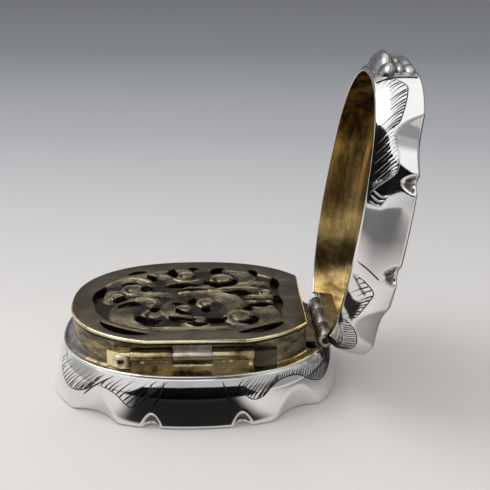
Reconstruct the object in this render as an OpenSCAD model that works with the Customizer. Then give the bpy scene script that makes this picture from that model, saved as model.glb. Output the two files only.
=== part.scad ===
// Silver vinaigrette: a small hinged box with a pierced inner grille over a sponge.
// +Z is up, +X points to the lid hinge and -Y to the grille hinge.
// The origin is the centre of the base's underside. The lid stands open.

/* [Box outline] */
// Length of the rim where lid and base meet, along X
rim_l = 37.6; // [32:0.1:44]
// Width of the rim where lid and base meet, along Y
rim_w = 27.6; // [24:0.1:32]
// Roundness of the oval, 2 is an ellipse and more is squarer
oval_power = 2.3; // [2.1:0.05:2.8]
// Thickness of the silver sheet in the walls
wall_t = 0.4; // [0.25:0.05:0.5]
// Points around each oval
outline_steps = 96; // [48:24:96]

/* [Lobed walls] */
// How far the wall flares out at the middle of the long sides
flare_side = 1.85; // [1:0.05:2.4]
// How far the wall flares out at the corners of the short sides
flare_end = 2; // [1.2:0.1:3]
// How much shallower the flare is at the middle of the short sides
end_dip = 0.6; // [0.2:0.1:0.9]
// Depth below the rim of the rounded shoulder at the top of each wall
shoulder_h = 2.35; // [1.8:0.05:2.6]
// Share of the flare that lies in the shoulder
shoulder_share = 0.33; // [0.1:0.01:0.4]
// Flare left at the foot of the narrow scoops
narrow_scoop_foot = 0.42; // [0.2:0.02:0.8]
// Height of the narrow scoops above the foot
narrow_scoop_h = 2.2; // [1.8:0.1:3.5]
// Flare left at the foot of the wide scoops
wide_scoop_foot = 0.33; // [0.2:0.01:0.8]
// Height of the wide scoops above the foot
wide_scoop_h = 3.8; // [2.5:0.1:4.2]
// Radius of the rolled edge at the foot of each wall
foot_roll = 0.45; // [0.3:0.05:0.5]

/* [Heights] */
// Height of the base wall, up to the underside of the seat rim
base_wall_h = 6.7; // [5.5:0.1:9]
// Thickness of the seat rim
seat_t = 0.35; // [0.25:0.05:0.5]
// Depth of the lid, from its rim to its top
lid_h = 5.8; // [5.6:0.1:8]
// Thickness of the base and lid panels
panel_t = 0.5; // [0.4:0.05:0.6]
// Thickness of the flange inside each wall that a panel is soldered to
flange_t = 0.35; // [0.25:0.05:0.5]
// How far the flange reaches inside the outline of the rim
flange_in = 0.75; // [0.7:0.05:0.8]

/* [Collar and sponge] */
// Width of the seat between rim and collar at the short end away from the hinge
seat_end = 1.3; // [1:0.1:3]
// Width of the seat between rim and collar at the long side away from the grille hinge
seat_side = 0.9; // [0.8:0.1:2]
// Width of the seat between rim and collar in front of the grille hinge
seat_front = 3; // [2.8:0.05:3.3]
// Distance from the lid hinge axis to the collar
seat_hinge = 3.05; // [2.6:0.05:4]
// Height of the collar above the seat
collar_rise = 3.85; // [3.4:0.05:4.1]
// Thickness of the collar's wall
collar_t = 0.55; // [0.4:0.05:0.7]
// Space between the top of the sponge and the grille
sponge_headroom = 0.7; // [0.4:0.1:1.5]

/* [Grille] */
// Thickness of the grille plate
grille_t = 0.66; // [0.4:0.02:0.8]
// How far the grille plate reaches past the collar all round
grille_lip = 0.12; // [0.05:0.01:0.15]
// How far the grille plate reaches past the flat over its hinge
grille_front_lip = 1.6; // [1.1:0.05:1.6]
// Width of the bevel along the edge of the plate
grille_bevel = 0.22; // [0.1:0.02:0.3]

/* [Lid hinge] */
// Distance of the lid hinge axis inside the end of the rim
lid_hinge_in = 0.65; // [0.4:0.05:0.9]
// Height of the lid hinge axis above the seat
lid_hinge_rise = 0.61; // [0.45:0.02:0.75]
// Angle of the open lid, from shut
lid_open = 98; // [80:1:104]
// Outer diameter of the lid hinge knuckles
lid_knuckle_d = 2.3; // [1.8:0.1:2.6]
// Diameter of the lid hinge pin
lid_pin_d = 0.9; // [0.7:0.05:1.1]
// Length of the lid hinge over its knuckles
lid_hinge_l = 11.6; // [10:0.2:12.4]
// Length of the middle knuckle
lid_knuckle_l = 4.3; // [3:0.1:6]

/* [Grille hinge] */
// Height of the grille hinge axis above the seat
grille_hinge_rise = 2.05; // [1.95:0.05:2.3]
// Distance of the middle of the grille hinge from the middle of the box, along X
grille_hinge_x = -0.5; // [-0.6:0.1:0.6]
// Outer diameter of the grille hinge knuckles
grille_knuckle_d = 1.4; // [1.2:0.02:1.5]
// Diameter of the grille hinge pin
grille_pin_d = 0.6; // [0.4:0.02:0.8]
// Length of the grille hinge over its knuckles
grille_hinge_l = 16.4; // [13:0.2:16.6]
// Length of the middle knuckle
grille_knuckle_l = 5.1; // [3:0.1:6]
// Length of each end block
block_l = 3.1; // [2:0.1:3.4]
// Height of each end block
block_h = 2.5; // [1.8:0.1:2.6]
// How far the middle of each end block lies below the hinge axis
block_drop = 0.75; // [0.5:0.05:0.75]

/* [Thumb piece] */
// How far the thumb piece stands out of the lid wall
thumb_out = 1.9; // [1:0.1:2.2]
// Height of the thumb piece along the lid wall
thumb_h = 5; // [4:0.1:5.1]
// Half the angle that the thumb piece covers round the outline
thumb_half_angle = 17; // [10:1:24]

/* [Clearances] */
// Gap between the shut lid and the seat
lid_gap = 0.04; // [0.02:0.01:0.1]
// Radial running clearance of the pins in their knuckles
pin_gap = 0.03; // [0.02:0.005:0.05]
// Gap between turning knuckles and what they seat in
knuckle_gap = 0.06; // [0.04:0.01:0.08]
// Gap between the ends of neighbouring knuckles
knuckle_end_gap = 0.1; // [0.06:0.02:0.2]
// Gap left by a soldered joint
solder_gap = 0.04; // [0.02:0.01:0.06]
// Gap between the grille plate and the top of the collar
grille_gap = 0.06; // [0.04:0.01:0.1]
// Room round the sponge
sponge_gap = 0.25; // [0.1:0.05:0.4]

/* [Hidden] */
$fn = 64;

silver = "#d9d9db";
gilt = "#b08d4a";
oxidised = "#4d4743";
sponge_tan = "#9c7b45";

// Heights that follow from the driving ones
seat_z = base_wall_h + seat_t;
lid_rim_z = seat_z + lid_gap;
collar_top = seat_z + collar_rise;
grille_z = collar_top + grille_gap;
lid_hinge_x = rim_l / 2 - lid_hinge_in;
lid_hinge_z = seat_z + lid_hinge_rise;
collar_l = rim_l - 2 * seat_end;
collar_w = rim_w - 2 * seat_side;
collar_flat_x = lid_hinge_x - seat_hinge;
collar_flat_y = rim_w / 2 - seat_front;
grille_hinge_out = grille_knuckle_d / 2 + knuckle_gap;
grille_hinge_y = -collar_flat_y - grille_hinge_out;
grille_hinge_z = seat_z + grille_hinge_rise;

// Scoops of a lobed wall: angle round the outline, half width in degrees, flare at the foot, height
narrow_scoop_half = 4.2;
wide_scoop_half = 12.7;
function narrow_scoop(at) = [at, narrow_scoop_half, narrow_scoop_foot, narrow_scoop_h];
function wide_scoop(at) = [at, wide_scoop_half, wide_scoop_foot, wide_scoop_h];
base_scoops = [wide_scoop(49), narrow_scoop(75), narrow_scoop(105), wide_scoop(131)];
lid_scoops = [wide_scoop(57), narrow_scoop(83), narrow_scoop(113), wide_scoop(129)];
// Half width in degrees of the dip at the middle of a short end, and the blend along a scoop's edge
end_dip_half = 12;
scoop_blend = 0.25;
// How far a cut runs past the face that it opens
overcut = 1;

// Angles round the outline
steps = [for (i = [0 : outline_steps - 1]) i * 360 / outline_steps];
// Heights of the wall's outer rings, as shares of the way from rim to foot
outer_levels = [0, 0.07, 0.14, 0.22, 0.3, 0.4, 0.52, 0.64, 0.75, 0.86, 0.935, 0.975, 1];
// Heights of its inner rings, as shares of the way from the rim to the flange
inner_levels = [0, 0.15, 0.35, 0.65, 1];

// Half length of the hinge opening that both walls leave
hinge_end_room = 1.15;
hinge_room = lid_hinge_l / 2 + hinge_end_room;
// How far the opening reaches below the rim in the base, and above it in the lid
hinge_room_below = 1.5;
hinge_room_above = 0.23;
base_hinge_drop = lid_knuckle_d / 2 - lid_hinge_rise - seat_t + hinge_room_below;
lid_hinge_drop = lid_hinge_rise - lid_gap + lid_knuckle_d / 2 + hinge_room_above;

function signed_pow(v, e) = sign(v) * pow(abs(v), e);
function oval_point(t, l, w) =
    [l / 2 * signed_pow(cos(t), 2 / oval_power), w / 2 * signed_pow(sin(t), 2 / oval_power)];
function oval_normal(t) =
    let (e = 2 - 2 / oval_power, n = [signed_pow(cos(t), e) / rim_l, signed_pow(sin(t), e) / rim_w])
    n / norm(n);
// Angle folded onto one long side, 0 at the hinge end and 180 at the free end
function half_turn(t) = acos(cos(t));
function smooth_min(a, b, k) = let (h = max(k - abs(a - b), 0)) min(a, b) - h * h / (4 * k);

// Flare of the plain lobes at the foot
function lobe(t) =
    let (from_end = asin(abs(sin(t))))
    flare_side + (flare_end - flare_side) * pow(cos(t), 2) - end_dip * exp(-pow(from_end / end_dip_half, 2));
// Flare of the plain lobes at a height above the foot of a wall, quickest over the shoulder
function flare(t, up, h) =
    let (drop = h - up, shoulder = sin(90 * min(1, drop / shoulder_h)))
    lobe(t) * ((1 - shoulder_share) * drop / h + shoulder_share * shoulder);
// A scoop leans outward as it rises, and meets the plain lobe at its own height
function scoop(t, up, h, s) =
    let (at = s[0], half = s[1], foot = s[2], lean = (flare(at, s[3], h) - foot) / s[3])
    foot + lean * up + (lobe(at) - foot) * pow((half_turn(t) - at) / half, 2);
// How far the outside of a wall stands out of the rim's outline, with its first few scoops cut in
function wall_out(t, up, h, scoops, count = 4) =
    count == 0 ? flare(t, up, h)
    : smooth_min(wall_out(t, up, h, scoops, count - 1), scoop(t, up, h, scoops[count - 1]), scoop_blend);
function roll_in(up) = up >= foot_roll ? 0 : foot_roll - sqrt(pow(foot_roll, 2) - pow(foot_roll - up, 2));
function rim_offset(t, out) = oval_point(t, rim_l, rim_w) + oval_normal(t) * out;
function at_hinge(t) =
    let (p = oval_point(t, rim_l, rim_w)) p[0] > 0 && abs(p[1]) < hinge_room;

// Closed loops of points joined ring to ring into one solid
module loop_loft(loops) {
    m = len(loops);
    n = len(loops[0]);
    polyhedron(
        points = [for (loop = loops) each loop],
        faces = [
            for (j = [0 : m - 1]) for (i = [0 : n - 1])
                let (a = j * n + i, b = j * n + (i + 1) % n,
                     c = (j + 1) % m * n + (i + 1) % n, d = (j + 1) % m * n + i)
                each [[a, c, b], [a, d, c]]
        ]);
}

// A lobed wall standing on its foot, with a panel rebate and flange inside and an opening for the hinge
module lobed_wall(h, scoops, hinge_drop) {
    function top(t) = at_hinge(t) ? h - hinge_drop : h;
    function outside(t, share) =
        let (up = top(t) * (1 - share)) concat(rim_offset(t, wall_out(t, up, h, scoops) - roll_in(up)), up);
    function inside(t, share) =
        let (low = panel_t + flange_t, up = low + (top(t) - low) * (1 - share))
        concat(rim_offset(t, wall_out(t, up, h, scoops) - wall_t), up);
    function rebate_ring(up) =
        [for (t = steps) concat(rim_offset(t, wall_out(t, 0, h, scoops) - foot_roll - wall_t), up)];
    function flange_ring(up) = [for (t = steps) concat(rim_offset(t, -flange_in), up)];
    loop_loft(concat(
        [rebate_ring(panel_t), rebate_ring(0)],
        [for (k = [len(outer_levels) - 1 : -1 : 0]) [for (t = steps) outside(t, outer_levels[k])]],
        [for (share = inner_levels) [for (t = steps) inside(t, share)]],
        [flange_ring(panel_t + flange_t), flange_ring(panel_t)]));
}

module panel_plate(h, scoops) {
    edge = foot_roll + wall_t + solder_gap;
    linear_extrude(panel_t) polygon([for (t = steps) rim_offset(t, wall_out(t, 0, h, scoops) - edge)]);
}

// The collar's oval with its two flats, grown by a margin and by its own margin at the front flat
module collar_outline(grow, front_grow) {
    intersection() {
        polygon([for (t = steps) oval_point(t, collar_l + 2 * grow, collar_w + 2 * grow)]);
        translate([-rim_l, -collar_flat_y - front_grow])
            square([rim_l + collar_flat_x + grow, rim_w]);
    }
}

// Swing the lid from shut to its open rest pose
module lid_pose() {
    at_lid_hinge() rotate([0, lid_open, 0]) translate([-lid_hinge_x, 0, -lid_hinge_z]) children();
}

// Turn a shape that stands on its foot upside down, with its foot at the lid's top
module lid_side_up() {
    translate([0, 0, lid_rim_z + lid_h]) mirror([0, 0, 1]) children();
}

module along_y(d, from, to) {
    translate([0, from, 0]) rotate([-90, 0, 0]) cylinder(d = d, h = to - from);
}

module along_x(d, from, to) {
    translate([from, 0, 0]) rotate([0, 90, 0]) cylinder(d = d, h = to - from);
}

module at_lid_hinge() {
    translate([lid_hinge_x, 0, lid_hinge_z]) children();
}

module at_grille_hinge() {
    translate([grille_hinge_x, grille_hinge_y, grille_hinge_z]) children();
}

module lid_hinge_knuckle(from, to) {
    at_lid_hinge() difference() {
        along_y(lid_knuckle_d, from, to);
        along_y(lid_pin_d + 2 * pin_gap, from - overcut, to + overcut);
    }
}

module grille_hinge_knuckle(from, to) {
    at_grille_hinge() difference() {
        along_x(grille_knuckle_d, from, to);
        along_x(grille_pin_d + 2 * pin_gap, from - overcut, to + overcut);
    }
}

module base_wall() {
    color(silver) lobed_wall(base_wall_h, base_scoops, base_hinge_drop);
}

module base_panel() {
    color(silver) panel_plate(base_wall_h, base_scoops);
}

module seat_rim() {
    lip = 0.12;
    color(silver) translate([0, 0, base_wall_h]) linear_extrude(seat_t) difference() {
        polygon([for (t = steps) rim_offset(t, lip)]);
        collar_outline(solder_gap, solder_gap);
        translate([collar_flat_x - overcut, -hinge_room]) square([rim_l, 2 * hinge_room]);
    }
}

module collar() {
    color(gilt) translate([0, 0, panel_t]) linear_extrude(collar_top - panel_t) difference() {
        collar_outline(0, 0);
        collar_outline(-collar_t, -collar_t);
    }
}

module sponge() {
    inset = -collar_t - sponge_gap;
    color(sponge_tan) translate([0, 0, panel_t + solder_gap])
        linear_extrude(grille_z - sponge_headroom - panel_t - solder_gap) collar_outline(inset, inset);
}

// The strip between collar and tube that the base's knuckles are soldered to
module base_hinge_bearer() {
    depth = 1.45;
    short_of_axis = 0.35;
    width = seat_hinge - short_of_axis - solder_gap;
    half = lid_hinge_l / 2;
    color(gilt) difference() {
        translate([collar_flat_x + solder_gap, -half, seat_z - depth])
            cube([width, 2 * half, depth + lid_hinge_rise]);
        at_lid_hinge() along_y(lid_knuckle_d + 2 * knuckle_gap, -rim_w, rim_w);
    }
}

module base_knuckle_front() {
    color(gilt) lid_hinge_knuckle(-lid_hinge_l / 2, -lid_knuckle_l / 2 - knuckle_end_gap);
}

module base_knuckle_rear() {
    color(gilt) lid_hinge_knuckle(lid_knuckle_l / 2 + knuckle_end_gap, lid_hinge_l / 2);
}

// A wire with a low riveted head at each end
module lid_hinge_pin() {
    head_t = 0.12;
    head_lip = 0.1;
    head_d = lid_pin_d + 2 * head_lip;
    end = lid_hinge_l / 2 + knuckle_end_gap / 2;
    color(silver) at_lid_hinge() {
        along_y(lid_pin_d, -end, end);
        for (side = [-end - head_t, end]) along_y(head_d, side, side + head_t);
    }
}

module lid_wall() {
    color(silver) lid_pose() lid_side_up() lobed_wall(lid_h, lid_scoops, lid_hinge_drop);
}

module lid_panel() {
    color(silver) lid_pose() lid_side_up() panel_plate(lid_h, lid_scoops);
}

// Lumps of the thumb piece as shares of its half width and height: place, half sizes, rise
thumb_lumps = [
    [0, 0.23, 0.6, 0.23, 1], [-0.6, 0.27, 0.36, 0.2, 0.6], [0.6, 0.27, 0.36, 0.2, 0.6],
    [0, 0.55, 0.42, 0.12, 0.55], [-0.5, 0.56, 0.36, 0.12, 0.44], [0.5, 0.56, 0.36, 0.12, 0.44],
    [0, 0.82, 0.58, 0.18, 0.5], [-0.6, 0.82, 0.34, 0.16, 0.36], [0.6, 0.82, 0.34, 0.16, 0.36]
];

// A cast relief of rounded lumps, soldered to the outside of the wall at the free end
module thumb_piece() {
    across = 24;
    down = 24;
    edge = 0.12;
    start = 0.25;
    function lump(p, q, s) = s[4] * sqrt(max(0, 1 - pow((p - s[0]) / s[2], 2) - pow((q - s[1]) / s[3], 2)));
    function bulge(p, q) = edge + thumb_out * max([for (s = thumb_lumps) lump(p, q, s)]);
    function spot(i, j, raised) =
        let (p = 2 * i / across - 1, q = j / down, t = 180 + thumb_half_angle * p,
             up = lid_h - start - thumb_h * q,
             out = wall_out(t, up, lid_h, lid_scoops) + solder_gap + raised * bulge(p, q))
        concat(rim_offset(t, out), up);
    n = (across + 1) * (down + 1);
    function id(i, j, raised) = raised * n + i * (down + 1) + j;
    function quad(a, b, c, d) = [[a, c, b], [a, d, c]];
    border = concat(
        [for (i = [0 : across]) [i, 0]], [for (j = [1 : down]) [across, j]],
        [for (i = [across - 1 : -1 : 0]) [i, down]], [for (j = [down - 1 : -1 : 1]) [0, j]]);
    color(silver) lid_pose() lid_side_up() polyhedron(
        points = [for (raised = [0, 1]) for (i = [0 : across]) for (j = [0 : down]) spot(i, j, raised)],
        faces = concat(
            [for (i = [0 : across - 1]) for (j = [0 : down - 1])
                each quad(id(i, j, 1), id(i, j + 1, 1), id(i + 1, j + 1, 1), id(i + 1, j, 1))],
            [for (i = [0 : across - 1]) for (j = [0 : down - 1])
                each quad(id(i, j, 0), id(i + 1, j, 0), id(i + 1, j + 1, 0), id(i, j + 1, 0))],
            [for (k = [0 : len(border) - 1])
                let (a = border[k], b = border[(k + 1) % len(border)])
                each quad(id(a[0], a[1], 0), id(a[0], a[1], 1), id(b[0], b[1], 1), id(b[0], b[1], 0))]));
}

// The strip inside the lid that the lid's knuckle is soldered to
module lid_hinge_bearer() {
    rise = 0.14;
    depth = 2;
    back = 1.95;
    half = lid_hinge_l / 2 - knuckle_end_gap;
    up = lid_h - lid_hinge_drop;
    edge = wall_t + solder_gap;
    color(gilt) lid_pose() difference() {
        translate([0, 0, lid_hinge_z + rise]) linear_extrude(depth) intersection() {
            polygon([for (t = steps) rim_offset(t, wall_out(t, up, lid_h, lid_scoops) - edge)]);
            translate([lid_hinge_x - back, -half]) square([rim_l, 2 * half]);
        }
        at_lid_hinge() along_y(lid_knuckle_d + 2 * knuckle_gap, -rim_w, rim_w);
    }
}

module lid_knuckle() {
    color(gilt) lid_pose() lid_hinge_knuckle(-lid_knuckle_l / 2, lid_knuckle_l / 2);
}

// One piercing: a crescent that tapers to a point at both ends, stretched with the collar
module piercing(centre, radius, from, to, half_width) {
    n = 8;
    function taper(k) = half_width * pow(sin(180 * k / n), 0.7);
    function drawn(k, side) =
        let (a = from + (to - from) * k / n) centre + (radius + side * taper(k)) * [cos(a), sin(a)];
    function spot(k, side) =
        let (p = drawn(k, side))
        [p[0] * collar_l / scrolls_drawn_for[0], p[1] * collar_w / scrolls_drawn_for[1]];
    polygon(concat([for (k = [0 : n]) spot(k, 1)], [for (k = [n - 1 : -1 : 1]) spot(k, -1)]));
}

// Length and width of the collar that the scrolls are drawn for
scrolls_drawn_for = [34, 25.8];
// Scrolls: centre, radius, start angle, end angle, half width
scrolls = [
    // along the border
    [[-2.9, 0.3], 10.75, 158, 190, 0.45], [[-6.1, -2.2], 7.8, 212, 271, 0.38],
    [[4.2, 1.5], 11.5, 276, 311, 0.45], [[-28.6, -1.2], 40, -4, 3.7, 0.36], [[-28.6, 4.9], 40, -3, 3, 0.34],
    // round the eyes of the front scrolls
    [[-5.9, -4.6], 1.85, 180, 318, 0.6], [[-4.9, -6.2], 1.7, 190, 255, 0.35],
    [[-1.2, -2.6], 3.5, 226, 290, 0.42], [[0.45, -6.7], 0.95, 160, 350, 0.36],
    [[2.7, -4.4], 1.9, 225, 320, 0.5], [[6.4, -5.6], 1.55, 230, 380, 0.35],
    [[-1.3, -3.0], 1.2, 170, 310, 0.2],
    // leaf gaps across the middle
    [[-4.2, -3.2], 1.35, 135, 215, 0.42], [[2.7, -2.9], 1.3, 140, 220, 0.3],
    [[-8.1, -3.6], 2.6, 75, 160, 0.42], [[1.3, -0.3], 1.75, 150, 220, 0.3], [[-2.4, -5], 3.8, 75, 105, 0.18],
    [[-11.5, 1.3], 1.35, 270, 365, 0.35], [[5.3, -2.2], 1.9, -55, 5, 0.3], [[9.1, 5.6], 7.6, 255, 285, 0.42],
    [[6.1, -20], 22.2, 84.5, 95.5, 0.48],
    // long leaf slits behind the middle
    [[-1.6, -15], 19.8, 81.5, 98.5, 0.36], [[0.1, -8], 11.2, 78, 107, 0.25], [[-9.2, 4.0], 2.2, -40, 25, 0.5],
    [[-9.2, 3.9], 1.55, 40, 150, 0.28],
    // round the eyes of the back scrolls
    [[3.5, 7], 2.25, 195, 360, 0.55], [[4.5, 8.3], 2.1, 95, 165, 0.48], [[-0.6, 9.5], 2.9, 160, 225, 0.42],
    [[-0.4, 9.2], 1.2, 45, 135, 0.3], [[-6.7, 4.2], 5.4, 95, 128, 0.3], [[6.5, 8.3], 2.1, -15, 50, 0.3],
    [[-7.9, 7.0], 1.5, -30, 60, 0.38]
];

module grille_plate() {
    step_up = grille_t - grille_bevel;
    color(oxidised) translate([0, 0, grille_z]) difference() {
        union() {
            linear_extrude(step_up) collar_outline(grille_lip, grille_front_lip);
            linear_extrude(grille_t)
                collar_outline(grille_lip - grille_bevel, grille_front_lip - grille_bevel);
        }
        translate([0, 0, -overcut]) linear_extrude(grille_t + 2 * overcut)
            for (s = scrolls) piercing(s[0], s[1], s[2], s[3], s[4]);
    }
}

// The strip that drops from the plate's front edge to the middle knuckle
module grille_leaf() {
    back = 0.3;
    front = 0.2;
    half = grille_knuckle_l / 2;
    color(gilt) at_grille_hinge() difference() {
        translate([-half, -front, 0]) cube([2 * half, front + back, grille_z - grille_hinge_z]);
        along_x(grille_knuckle_d, -rim_l, rim_l);
    }
}

module grille_knuckle_middle() {
    color(gilt) grille_hinge_knuckle(-grille_knuckle_l / 2, grille_knuckle_l / 2);
}

module grille_knuckle_left() {
    color(gilt) grille_hinge_knuckle(-grille_hinge_l / 2, -grille_knuckle_l / 2 - knuckle_end_gap);
}

module grille_knuckle_right() {
    color(gilt) grille_hinge_knuckle(grille_knuckle_l / 2 + knuckle_end_gap, grille_hinge_l / 2);
}

module grille_hinge_pin() {
    reach = grille_hinge_l / 2 + knuckle_end_gap / 2 + grille_pin_in;
    color(silver) at_grille_hinge() along_x(grille_pin_d, -reach, reach);
}

// The strip on the collar's flat that cradles the outer knuckles, cut low where the leaf swings
module grille_hinge_bearer() {
    low = 0.7;
    cradle = 0.25;
    front = 0.35;
    depth = grille_hinge_out + front - solder_gap;
    height = grille_hinge_rise - grille_knuckle_d / 2 + cradle;
    half = grille_hinge_l / 2;
    swing = grille_knuckle_l / 2 + knuckle_end_gap / 2;
    color(gilt) at_grille_hinge() difference() {
        translate([-half, -front, -grille_hinge_rise]) cube([2 * half, depth, height]);
        along_x(grille_knuckle_d + 2 * knuckle_gap, -rim_l, rim_l);
        translate([-swing, -rim_w, low - grille_hinge_rise]) cube([2 * swing, 2 * rim_w, height]);
    }
}

// Y of the collar's front face, a soldered joint away
function collar_front(x) =
    let (across = collar_w / 2 * pow(1 - pow(2 * abs(x) / collar_l, oval_power), 1 / oval_power))
    -min(collar_flat_y, across) - solder_gap;

// How far the grille hinge pin reaches into each end block
grille_pin_in = 0.8;

// A faceted block that closes the end of the grille hinge, shaped to the curve of the collar
module hinge_block(side) {
    from = grille_hinge_l / 2 + knuckle_end_gap / 2;
    to = from + block_l;
    front_t = 0.12;
    front = grille_hinge_y - grille_pin_d / 2 - pin_gap - front_t;
    face_l = 1;
    tip_t = 0.5;
    facet = 0.45;
    back_steps = 8;
    function back(x) = collar_front(grille_hinge_x + side * x);
    outline = concat(
        [[from, front], [from + face_l, front + facet / 4], [to, back(to) - tip_t]],
        [for (k = [back_steps : -1 : 0]) let (x = from + block_l * k / back_steps) [x, back(x)]]);
    middle = grille_hinge_z - block_drop;
    translate([grille_hinge_x, 0, 0]) mirror([side < 0 ? 1 : 0, 0, 0]) difference() {
        translate([0, 0, middle - block_h / 2]) linear_extrude(block_h) polygon(outline);
        for (end = [-1, 1]) translate([from - overcut, front, middle + end * block_h / 2])
            rotate([45, 0, 0]) translate([0, -facet / 2, -facet / 2])
                cube([block_l + 2 * overcut, facet, facet]);
        translate([0, grille_hinge_y, grille_hinge_z])
            along_x(grille_pin_d + 2 * pin_gap, 0, from + grille_pin_in + pin_gap);
    }
}

module hinge_block_left() {
    color(gilt) hinge_block(-1);
}

module hinge_block_right() {
    color(gilt) hinge_block(1);
}

base_wall();
base_panel();
seat_rim();
collar();
sponge();
base_hinge_bearer();
base_knuckle_front();
base_knuckle_rear();
lid_hinge_pin();
lid_wall();
lid_panel();
thumb_piece();
lid_hinge_bearer();
lid_knuckle();
grille_plate();
grille_leaf();
grille_knuckle_middle();
grille_knuckle_left();
grille_knuckle_right();
grille_hinge_pin();
grille_hinge_bearer();
hinge_block_left();
hinge_block_right();
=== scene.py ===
# Looks of a small silver vinaigrette that stands open: lobed silver walls with engraved leaves,
# gilt inside, and an oxidised grille of pierced scrolls over a sponge.
import math

import bmesh
import bpy
import numpy as np
from mathutils import Matrix, Quaternion, Vector
from mathutils.geometry import delaunay_2d_cdt


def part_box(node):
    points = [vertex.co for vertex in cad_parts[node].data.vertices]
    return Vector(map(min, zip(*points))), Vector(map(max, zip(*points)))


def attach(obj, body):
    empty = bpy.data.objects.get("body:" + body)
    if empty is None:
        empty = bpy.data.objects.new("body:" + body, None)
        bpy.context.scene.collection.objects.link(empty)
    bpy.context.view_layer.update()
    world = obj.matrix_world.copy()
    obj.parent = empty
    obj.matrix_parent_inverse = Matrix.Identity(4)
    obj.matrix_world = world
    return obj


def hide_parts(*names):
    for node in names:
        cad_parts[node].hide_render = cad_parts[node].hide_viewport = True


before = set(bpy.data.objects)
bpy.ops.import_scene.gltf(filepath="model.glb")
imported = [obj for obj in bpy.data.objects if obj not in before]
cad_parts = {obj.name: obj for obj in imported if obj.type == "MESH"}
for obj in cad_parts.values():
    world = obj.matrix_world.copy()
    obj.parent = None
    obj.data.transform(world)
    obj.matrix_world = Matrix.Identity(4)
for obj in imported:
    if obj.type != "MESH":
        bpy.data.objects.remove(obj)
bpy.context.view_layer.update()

MM = 0.001
TURN = 2 * math.pi
QUARTER = math.pi / 2
rng = np.random.default_rng(11)


def node_box(node_name):
    """Lowest and highest corner of a CAD node, in millimetres."""
    return np.array(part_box(node_name)) / MM


# Sizes in millimetres that the pieces share with the solids
RIM_L = 37.6
RIM_W = 27.6
OVAL_POWER = 2.3
WALL_T = 0.4
FLARE_SIDE = 1.85
FLARE_END = 2.0
END_DIP = 0.6
END_DIP_HALF = 12.0
SHOULDER_H = 2.35
SHOULDER_SHARE = 0.33
SCOOP_BLEND = 0.25
FOOT_ROLL = 0.45
PANEL_T = 0.5
FLANGE_T = 0.35
FLANGE_IN = 0.75
LID_H = 5.8
LID_GAP = 0.04
LID_OPEN = math.radians(98)
COLLAR_L = 35.0
COLLAR_W = 25.8
COLLAR_T = 0.55
COLLAR_FLAT_X = 15.1
COLLAR_FLAT_Y = 10.8
SOLDER_GAP = 0.04
HINGE_ROOM = 6.95
BASE_HINGE_DROP = 1.69
LID_HINGE_DROP = 1.95
THUMB_OUT = 1.9
THUMB_H = 5.0
THUMB_HALF = math.radians(17)

# Details of the walls and the seat that only the looks have
SEAT_LIP = 0.12
COVE_IN = 0.16
COVE_LOW = 0.35
COVE_HIGH = 2.6
LID_BULGE = 0.24
NOTCH_LIP = 0.5
NOTCH_LIP_H = 0.45
NOTCH_SHADE = 0.3
RIM_ROUND = 0.17
LINING_FLARE = 0.22
SPONGE_INSET = 0.8

# The grille's border, sunk field and relief
GRILLE_LIP = 0.12
GRILLE_FRONT_LIP = 1.6
GRILLE_BEVEL = 0.22
EDGE_SHADE = 0.34
FIELD_IN = 3.0
FIELD_FRONT_IN = 1.2
FIELD_SINK = 0.4
FIELD_SLOPE = 0.22
FIELD_PITCH = 0.15
BAND_H = 0.44
GROUND = 0.3
PIERCE_MORE = 0.32
EDGE_EASE = 0.2
EDGE_DROP = 0.14

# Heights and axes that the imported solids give
SEAT_LOW, SEAT_TOP = node_box("seat_rim")[:, 2]
BASE_WALL_H = SEAT_LOW
LID_RIM_Z = SEAT_TOP + LID_GAP
COLLAR_LOW, COLLAR_TOP = node_box("collar")[:, 2]
GRILLE_LOW, GRILLE_TOP = node_box("grille_plate")[:, 2]
LID_AXIS = sum(node_box("lid_hinge_pin")) / 2 * [1, 0, 1]
GRILLE_AXIS = sum(node_box("grille_hinge_pin")) / 2 * [0, 1, 1]

# Scoops of a wall: angle on one long side, half width in degrees, flare at the foot, height
NARROW = (4.2, 0.42, 2.2)
WIDE = (12.7, 0.33, 3.8)
BASE_SCOOPS = [(49, *WIDE), (75, *NARROW), (105, *NARROW), (131, *WIDE)]
LID_SCOOPS = [(57, *WIDE), (83, *NARROW), (113, *NARROW), (129, *WIDE)]


# Outline and wall formulas, with angles in radians
def unit(vectors):
    return vectors / np.maximum(np.linalg.norm(vectors, axis=-1, keepdims=True), 1e-12)


def turn_steps(count):
    return np.linspace(0, TURN, count, endpoint=False)


def oval_powers(t, power):
    turn = np.stack([np.cos(t), np.sin(t)], -1)
    return np.sign(turn) * np.abs(turn) ** power


def oval(t, length, width):
    return oval_powers(t, 2 / OVAL_POWER) * [length / 2, width / 2]


def oval_normal(t):
    return unit(oval_powers(t, 2 - 2 / OVAL_POWER) / [RIM_L, RIM_W])


def rim_offset(t, out):
    return oval(t, RIM_L, RIM_W) + oval_normal(t) * np.asarray(out)[..., None]


def at_height(line, z):
    """Points of a flat line at one height, or at a height each."""
    up = np.broadcast_to(np.asarray(z, float), line.shape[:-1])
    return np.concatenate([line, up[..., None]], -1)


def lobe(t):
    from_end = np.degrees(np.arcsin(np.clip(np.abs(np.sin(t)), 0, 1)))
    dip = END_DIP * np.exp(-((from_end / END_DIP_HALF) ** 2))
    return FLARE_SIDE + (FLARE_END - FLARE_SIDE) * np.cos(t) ** 2 - dip


def flare(t, up, h):
    drop = h - up
    shoulder = np.sin(QUARTER * np.minimum(1, drop / SHOULDER_H))
    bulge = LID_BULGE * np.sin(math.pi * drop / h) if h == LID_H else 0
    return lobe(t) * ((1 - SHOULDER_SHARE) * drop / h + SHOULDER_SHARE * shoulder) + bulge


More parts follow.
